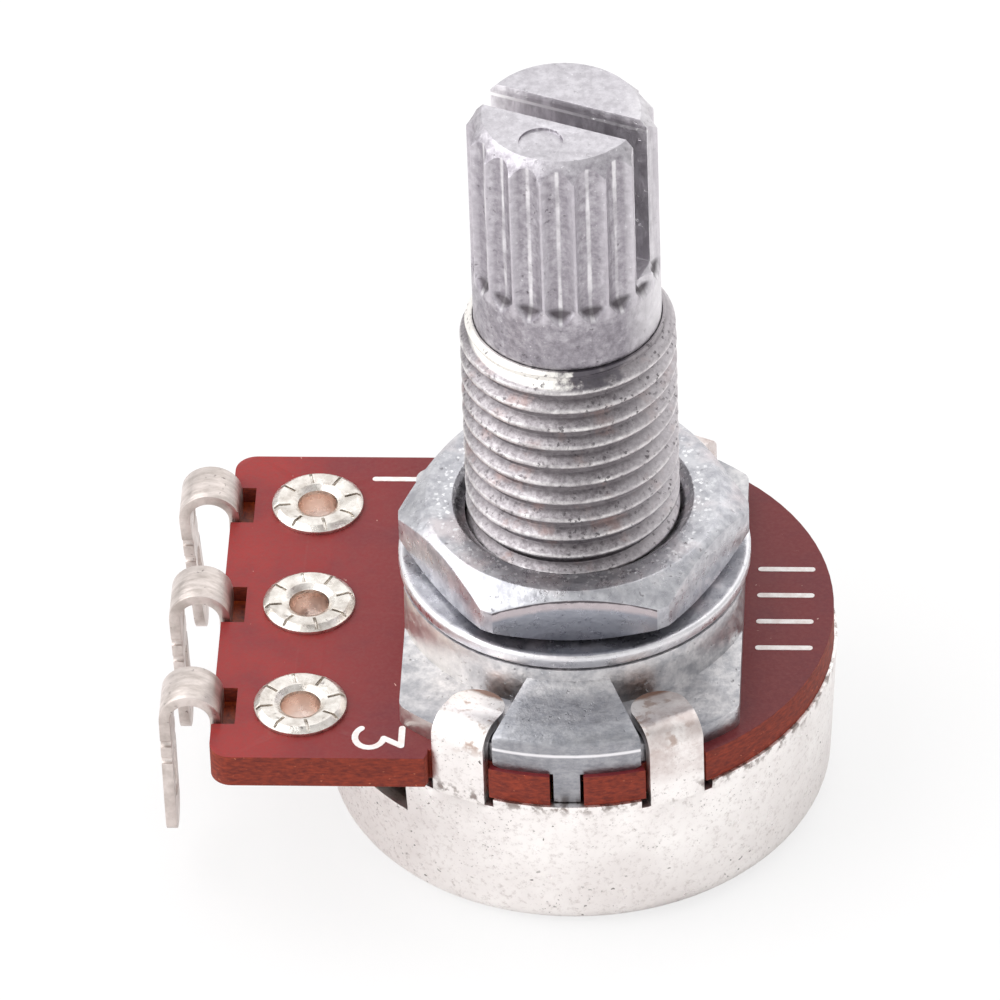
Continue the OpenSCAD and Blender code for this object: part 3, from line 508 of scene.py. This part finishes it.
def plated_steel():
    """Bright plate with handling marks, for the nut and the washer, with painted shade on its front faces
    and under the nut, and a painted highlight on the washer's rim.
    """
    look = Look("plated_steel", linear(182, 183, 188), 1.0, 0.3)
    height = look.axis("Z")
    tone = satin_metal(look, (206, 206, 210), (170, 170, 176), 2.0, 0.3)
    tone = look.over(tone, look.remap(look.noise(0.5, detail=3), 0.5, 0.66, 0, 0.35), (214, 194, 194))
    # Painted shade: faces that look to the front painted darker and bluer.
    front = look.remap(look.facing("Y"), -0.86, -0.96)
    tone = look.over(tone, look.times(front, 0.8), (138, 141, 152))

    washer = look.remap(height, WASHER_Z + 0.015, WASHER_Z + 0.005)
    out = look.ragged(look.radius(), 0.06, 3)
    # Painted shadow: the washer's top darker in front, under the nut.
    nut_shadow = look.times(washer, look.remap(out, WASHER_R - 0.13, WASHER_R - 0.23),
                       look.remap(look.axis("Y"), *WASHER_SHADE_Y), 0.6)
    tone = look.over(tone, nut_shadow, (92, 91, 99))
    # Painted highlight: a near white line round the washer's rim.
    rim = look.times(washer, look.remap(out, WASHER_R - 0.2, WASHER_R - 0.1), 0.5)
    tone = look.over(tone, rim, (252, 250, 252))
    flecks = look.times(look.dots(5, 0.36, wobble=0.8), look.remap(look.radius(), *NUT_FLECK_R, 0, 0.75))
    tone = look.over(tone, flecks, (250, 250, 252))

    fall = look.math("SUBTRACT", look.radius(), NUT_R - NUT_CHAMFER_W)
    fall = look.times(fall, NUT_CHAMFER_H / NUT_CHAMFER_W)
    over = look.math("ADD", height, look.math("SUBTRACT", fall, NUT_Z))
    over = look.math("ADD", over, look.remap(look.noise(1.5), 0.3, 0.7, -0.04, 0.04))
    band = look.times(front, look.remap(over, -0.42, -0.28, 0, 0.75))
    tone = look.over(tone, band, (196, 184, 186))
    line = look.times(front, look.near(over, -0.03, 0.07, 0.03, 0.85))
    look.paint(look.over(tone, line, (52, 49, 54)))
    return look


def bright_metal(name, light, dark, roughness, stretch=(1, 1, 1)):
    """Tinned strip or eyelet: pale, with streaks along its stretch and a few dark marks."""
    look = Look(name, linear(*light), 1.0, roughness)
    streak = look.remap(look.noise(2.0, detail=6, roughness=0.65, stretch=stretch), 0.4, 0.66)
    tone = look.mix(streak, linear(*light), linear(*dark))
    mark = look.times(look.specks(3.0, 0.17, 0.8, wobble=0.9), 0.7)
    look.paint(look.over(tone, mark, (104, 94, 92)))
    look.rough(look.remap(look.noise(3, detail=4), 0.3, 0.7, roughness - 0.06, roughness + 0.14))
    look.relief(look.noise(4, detail=5, stretch=stretch), 0.02)
    return look


def eyelet_metal():
    """Bright eyelet, its barrel rosy with old flux."""
    look = bright_metal("eyelet_metal", (236, 231, 225), (196, 188, 180), 0.25)
    barrel = look.remap(look.axis("Z"), BOARD_Z + 0.02, BOARD_Z - 0.08, 0, 0.8)
    look.paint(look.over(look.tone(), barrel, (255, 232, 220)))
    return look


def tinned_strip():
    """Bright strip, painted dark brown as shade where it comes up through the board's notch."""
    look = bright_metal("tinned_strip", (216, 206, 201), (182, 172, 166), 0.34, (0.6, 1.8, 0.6))
    # Painted shade: the strip dark brown where it comes up through the board's notch.
    notch = look.times(look.remap(look.axis("X"), NOTCH_X - 0.15, NOTCH_X + 0.15),
                       look.remap(look.axis("Z"), RIM_Z + 0.4, RIM_Z + 0.1), 0.95)
    look.paint(look.over(look.tone(), notch, (96, 30, 16)))
    return look


def plain(name, color, metallic, roughness, speck):
    """Quiet finish for small or hidden pieces, still with a grain of its own."""
    look = Look(name, linear(*color), metallic, roughness)
    grain = look.noise(4, detail=4)
    look.paint(look.mix(look.remap(grain, 0.35, 0.65), linear(*color), linear(*speck)))
    look.relief(grain, 0.01)
    return look


def top_of(node):
    """Height of a node's top, in millimetres."""
    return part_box(node)[1].z / MM


def radii(node, above):
    """Distances from the shaft's axis of a node's points above a height, in millimetres."""
    points = [v.co for v in NODES[node].data.vertices if v.co.z > above * MM]
    return [math.hypot(p.x, p.y) / MM for p in points]


# Levels and radii that the materials follow, in millimetres, off the solids
SEAT_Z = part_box("flat_washer")[0].z / MM
RIM_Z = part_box("terminal_board")[0].z / MM
BOARD_Z = top_of("terminal_board")
NOTCH_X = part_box("terminal_board")[0].x / MM + NOTCH_END
TAB_Z = top_of("rear_cover") - TAB_BEND
TAB_TIP_R = min(radii("rear_cover", TAB_Z))
WING_R = -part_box("bushing_casting")[0].y / MM
CREST_R = max(radii("bushing_casting", SEAT_Z + 0.1))
BUSHING_Z = top_of("bushing_casting")
KNURL_Z = BUSHING_Z + COLLAR_LEN
TIP_Z = top_of("shaft")
SHAFT_R = max(radii("shaft", SEAT_Z))
NUT_Z = top_of("mounting_nut")
NUT_R = max(radii("mounting_nut", SEAT_Z))
WASHER_Z = top_of("flat_washer")
WASHER_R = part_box("flat_washer")[1].x / MM
LOOKS = {
    "tinned_steel": tinned_steel(),
    "phenolic_board": phenolic_board(),
    "carbon_ink": plain("carbon_ink", (34, 33, 34), 0.0, 0.6, (52, 50, 50)),
    "silver_ink": plain("silver_ink", (188, 187, 184), 0.8, 0.5, (150, 149, 146)),
    "tinned_strip": tinned_strip(),
    "eyelet_metal": eyelet_metal(),
    "cast_zinc": cast_zinc(),
    "shaft_metal": shaft_metal(),
    "spring_steel": plain("spring_steel", (128, 128, 132), 1.0, 0.35, (100, 100, 104)),
    "rotor_plastic": plain("rotor_plastic", (226, 219, 202), 0.0, 0.45, (208, 200, 182)),
    "spring_bronze": plain("spring_bronze", (206, 168, 112), 1.0, 0.3, (178, 138, 88)),
    "plated_steel": plated_steel(),
}


def shade_smooth_group():
    """Geometry nodes that weld a mesh's seams and shade it smooth."""
    group = bpy.data.node_groups.new("shade_smooth", "GeometryNodeTree")
    group.interface.new_socket("Geometry", in_out="INPUT", socket_type="NodeSocketGeometry")
    group.interface.new_socket("Geometry", in_out="OUTPUT", socket_type="NodeSocketGeometry")
    start = group.nodes.new("NodeGroupInput")
    weld = group.nodes.new("GeometryNodeMergeByDistance")
    smooth = group.nodes.new("GeometryNodeSetShadeSmooth")
    end = group.nodes.new("NodeGroupOutput")
    weld.inputs["Distance"].default_value = WELD
    group.links.new(start.outputs[0], weld.inputs["Geometry"])
    group.links.new(weld.outputs[0], smooth.inputs["Geometry"])
    group.links.new(smooth.outputs[0], end.inputs[0])
    return group


SHADE_SMOOTH = shade_smooth_group()


def soften(piece, width_mm, angle):
    """Rounds a piece's edges a little where they turn by more than an angle. No real edge is sharp."""
    piece.modifiers.new("shade_smooth", "NODES").node_group = SHADE_SMOOTH
    bevel = piece.modifiers.new("edges", "BEVEL")
    bevel.width = width_mm * MM
    bevel.segments = 2
    bevel.limit_method = "ANGLE"
    bevel.angle_limit = math.radians(angle)
    bevel.use_clamp_overlap = True
    normals = piece.modifiers.new("normals", "WEIGHTED_NORMAL")
    normals.keep_sharp = False
    normals.weight = 60


def dress(name, node):
    """Gives a solid its material in place of the plain one that came with it, and soft edges."""
    node.data.materials.clear()
    node.data.materials.append(LOOKS[SLOT_OF[name]].material)
    if name in EDGES:
        soften(node, EDGES[name], EDGE_ANGLE)


def new_object(name, mesh, look):
    """A mesh as an object of the scene, in one material."""
    data = bpy.data.meshes.new(name)
    mesh.to_mesh(data)
    mesh.free()
    data.materials.append(look.material)
    piece = bpy.data.objects.new(name, data)
    bpy.context.scene.collection.objects.link(piece)
    return piece


def casting_below(level):
    """The bushing casting without its bushing, closed at a level."""
    mesh = bmesh.new()
    mesh.from_mesh(NODES["bushing_casting"].data)
    bmesh.ops.remove_doubles(mesh, verts=mesh.verts, dist=WELD)
    cut = bmesh.ops.bisect_plane(
        mesh, geom=mesh.verts[:] + mesh.edges[:] + mesh.faces[:], dist=CUT_NEAR,
        plane_co=(0, 0, level), plane_no=(0, 0, 1), clear_outer=True)
    rim = [e for e in cut["geom_cut"] if isinstance(e, bmesh.types.BMEdge)]
    bmesh.ops.holes_fill(mesh, edges=rim, sides=0)
    return mesh


def thread_radius(height, turn, crest):
    """Radius of the thread at a height above its start and a turn about the axis."""
    root = crest - THREAD_DEPTH
    phase = (height / THREAD_PITCH - turn) % 1
    for (p0, d0), (p1, d1) in zip(THREAD_PROFILE, THREAD_PROFILE[1:]):
        if phase <= p1:
            depth = d0 + (d1 - d0) * (phase - p0) / (p1 - p0)
            return root + (crest - root) * depth
    return root


def thread_row(mesh, step, start, top, lip):
    """A row of points once round the thread's helix, held between its start and the bushing's end."""
    crest = CREST_R * MM
    shoulder = top - THREAD_CHAMFER
    row = []
    for side in range(THREAD_SIDES + 1):
        turn = side / THREAD_SIDES
        height = start + THREAD_PITCH * (step / THREAD_STEPS + turn - 1)
        height = min(top, max(start, height))
        radius = thread_radius(height - start, turn, crest)
        if height > shoulder:
            radius = min(radius, crest + (lip - crest) * (height - shoulder) / (top - shoulder))
        angle = 2 * math.pi * turn
        row.append(mesh.verts.new((radius * math.cos(angle), radius * math.sin(angle), height)))
    return row


def bore_row(mesh, radius, height):
    """A row of points once round the bore."""
    angles = [2 * math.pi * i / THREAD_SIDES for i in range(THREAD_SIDES + 1)]
    return [mesh.verts.new((radius * math.cos(a), radius * math.sin(a), height)) for a in angles]


def skin(mesh, lower, upper):
    """Faces between two rows of points."""
    for i in range(len(lower) - 1):
        mesh.faces.new((lower[i], lower[i + 1], upper[i + 1], upper[i]))


def threaded_casting():
    """The bushing casting with its thread in finer facets, in place of the solid with the coarser thread."""
    node = "bushing_casting"
    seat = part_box("flat_washer")[0].z
    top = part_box(node)[1].z
    start = seat - FACE_GAP - THREAD_SINK
    ends = radii(node, BUSHING_Z - 0.01)
    bore, lip = min(ends) * MM, max(ends) * MM

    mesh = casting_below(seat + CUT_LIFT)
    steps = int(((top - start) / THREAD_PITCH + 1) * THREAD_STEPS) + 2
    rows = [thread_row(mesh, step, start, top, lip) for step in range(steps)]
    for lower, upper in zip(rows, rows[1:]):
        skin(mesh, lower, upper)
    inner = [bore_row(mesh, bore, height) for height in (top, start)]
    for outer, ring in ((rows[-1], inner[0]), (inner[0], inner[1]), (inner[1], rows[0])):
        skin(mesh, outer, ring)
    bmesh.ops.remove_doubles(mesh, verts=mesh.verts, dist=WELD)
    bmesh.ops.dissolve_degenerate(mesh, edges=mesh.edges, dist=FLAT_NEAR)
    bmesh.ops.recalc_face_normals(mesh, faces=mesh.faces)
    piece = new_object("threaded_casting", mesh, LOOKS[SLOT_OF[node]])
    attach(piece, "housing")
    soften(piece, THREAD_EDGE, THREAD_EDGE_ANGLE)
    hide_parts(node)


def stroke(mesh, points, low, high):
    """A flat ink stroke with round ends along points in the XY plane, from height low to high."""
    half = INK_WIDTH / 2
    left, right = [], []
    for i, point in enumerate(points):
        along = (points[min(i + 1, len(points) - 1)] - points[max(i - 1, 0)]).normalized()
        across = Vector((-along.y, along.x)) * half
        left.append(point + across)
        right.append(point - across)
    end = round_end(points[-1], left[-1] - points[-1])
    start = round_end(points[0], right[0] - points[0])
    outline = left + end + right[::-1] + start
    lower = [mesh.verts.new((p.x, p.y, low)) for p in outline]
    upper = [mesh.verts.new((p.x, p.y, high)) for p in outline]
    count, ends = len(points), len(end)
    last = 2 * count + ends - 1
    for i in range(count - 1):
        mesh.faces.new((upper[i], upper[last - i], upper[last - i - 1], upper[i + 1]))
    mesh.faces.new(upper[count - 1:count + ends + 1])
    mesh.faces.new(upper[last:] + upper[:1])
    for i in range(len(outline)):
        j = (i + 1) % len(outline)
        mesh.faces.new((lower[i], lower[j], upper[j], upper[i]))


def round_end(centre, side, steps=8):
    """Points of a half circle that starts beside the centre and turns clockwise, without its ends."""
    turns = [math.pi * i / steps for i in range(1, steps)]
    return [centre + Vector((side.x * math.cos(t) + side.y * math.sin(t),
                             side.y * math.cos(t) - side.x * math.sin(t))) for t in turns]


def figure_three():
    """Strokes of a flat-topped figure 3, whose up is +X and whose right is -Y."""
    bowl = NUMBER_TALL * THREE_BOWL
    knee = (2 * bowl, THREE_KNEE * NUMBER_WIDE)
    bar = [(NUMBER_TALL, share * NUMBER_WIDE) for share in THREE_BAR]
    turns = [math.radians(t) for t in THREE_TURNS]
    round_part = [(bowl + bowl * math.sin(t), bowl * THREE_BULGE * math.cos(t)) for t in turns]
    strokes = bar, [bar[1], knee], round_part
    return [[Vector((NUMBER_FOOT_X + up, THREE_Y - right)) for up, right in line] for line in strokes]


def ink_marks():
    """The terminal numbers 1 and 3, and a row of plain ticks on the board's other side."""
    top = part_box("terminal_board")[1].z
    mesh = bmesh.new()
    for layer, line in enumerate(figure_three()):
        stroke(mesh, line, top, top + INK_HEIGHT * (1 + INK_LAYER * layer))
    upright = [(NUMBER_FOOT_X, NUMBER_TALL, ONE_Y)]
    upright += [(MARK_X, MARK_TALL, (k - (MARK_COUNT - 1) / 2) * MARK_PITCH) for k in range(MARK_COUNT)]
    for x, tall, y in upright:
        stroke(mesh, [Vector((x, y)), Vector((x + tall, y))], top, top + INK_HEIGHT)
    bmesh.ops.recalc_face_normals(mesh, faces=mesh.faces)
    look = plain("white_ink", (244, 240, 238), 0.0, 0.5, (226, 214, 210))
    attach(new_object("ink_marks", mesh, look), "housing")


def notch_shade():
    """Dark brown blocks in the board's three notches, round the strips, which stand in for the shade there.
    """
    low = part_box("terminal_board")[0]
    inner = low.x + NOTCH_DEPTH
    size = Matrix.Diagonal((SHADE_FILL_WIDTH, NOTCH_WIDTH, SHADE_FILL_HEIGHT, 1))
    mesh = bmesh.new()
    for name in ("terminal_1", "terminal_2", "terminal_3"):
        near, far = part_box(name)
        centre = Vector((inner - SHADE_FILL_WIDTH / 2, (near.y + far.y) / 2, low.z + SHADE_FILL_HEIGHT / 2))
        bmesh.ops.create_cube(mesh, size=1, matrix=Matrix.Translation(centre) @ size)
    # Painted shade: a dark block that stands in for the shade inside each notch.
    look = plain("notch_shade_fill", (96, 24, 12), 0.0, 0.4, (160, 66, 24))
    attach(new_object("notch_shade", mesh, look), "housing")


def camera():
    """The photo's viewpoint: a long lens from above and in front."""
    az, el, roll = (math.radians(a) for a in (CAMERA_AZIMUTH, CAMERA_ELEVATION, CAMERA_ROLL))
    level = Vector((math.cos(az), math.sin(az), 0))
    ahead = Vector((-math.sin(az) * math.cos(el), math.cos(az) * math.cos(el), -math.sin(el)))
    above = level.cross(ahead)
    right = math.cos(roll) * level + math.sin(roll) * above
    up = -math.sin(roll) * level + math.cos(roll) * above
    data = bpy.data.cameras.new("camera")
    data.sensor_width = CAMERA_SENSOR
    data.lens = CAMERA_LENS
    data.clip_start = CAMERA_NEAR
    data.clip_end = CAMERA_FAR
    eye = bpy.data.objects.new("camera", data)
    eye.matrix_world = Matrix.Translation(CAMERA_PLACE) @ Matrix((right, up, -ahead)).transposed().to_4x4()
    bpy.context.scene.collection.objects.link(eye)
    bpy.context.scene.camera = eye


def key_lamp():
    """A large soft square lamp at the left, which faces the middle of the part."""
    data = bpy.data.lights.new("key", "AREA")
    data.shape = "SQUARE"
    data.size = KEY_SIZE
    data.energy = KEY_WATTS
    light = bpy.data.objects.new("key", data)
    light.location = KEY_PLACE
    light.rotation_euler = (KEY_AIM - light.location).to_track_quat("-Z", "Y").to_euler()
    bpy.context.scene.collection.objects.link(light)


def floor():
    """White floor that keeps the shadow, with plain white laid over its shading for the camera."""
    mesh = bmesh.new()
    bmesh.ops.create_circle(mesh, cap_ends=True, radius=FLOOR_RADIUS, segments=FLOOR_SIDES)
    look = Look("floor", FLOOR_COLOR, 0.0, 0.9)
    seen = look.add("LightPath").outputs["Is Camera Ray"]
    white = look.add("Emission", {"Color": (1, 1, 1, 1), "Strength": 1.0}).outputs[0]
    shares = {0: look.times(seen, FLOOR_WHITE), 1: look.shader.outputs[0], 2: white}
    out = look.tree.nodes["Material Output"]
    look.put(out.inputs["Surface"], look.add("MixShader", shares).outputs[0])
    piece = new_object("floor", mesh, look)
    piece.location.z = CAD_BOX[0].z - FLOOR_DROP


def sky():
    """Pale sky with brighter patches, in whose place the camera sees plain white."""
    world = bpy.data.worlds.new("studio")
    bpy.context.scene.world = world
    world.use_nodes = True
    nodes = Nodes(world.node_tree)
    direction = nodes.add("TexCoord").outputs["Generated"]
    light = SKY_BASE
    for towards, inner, outer, strength in SKY:
        aim = Vector(towards).normalized()
        aim = nodes.add("VectorMath", {0: direction, 1: aim}, operation="DOT_PRODUCT").outputs["Value"]
        glow = nodes.add("MapRange", {
            "Value": aim, "From Min": math.cos(math.radians(outer)),
            "From Max": math.cos(math.radians(inner)), "To Max": strength}, interpolation_type="SMOOTHSTEP")
        light = nodes.math("ADD", glow.outputs["Result"], light)
    seen = nodes.add("LightPath").outputs["Is Camera Ray"]
    background = world.node_tree.nodes["Background"]
    nodes.put(background.inputs["Strength"], nodes.add("Mix", {0: seen, 2: light, 3: 1.0}).outputs[0])
    nodes.put(background.inputs["Color"], (1, 1, 1, 1))


camera()
floor()
sky()
key_lamp()
for name, node in NODES.items():
    dress(name, node)
threaded_casting()
ink_marks()
notch_shade()

bpy.context.scene.view_settings.view_transform = "Standard"
bpy.context.view_layer.update()
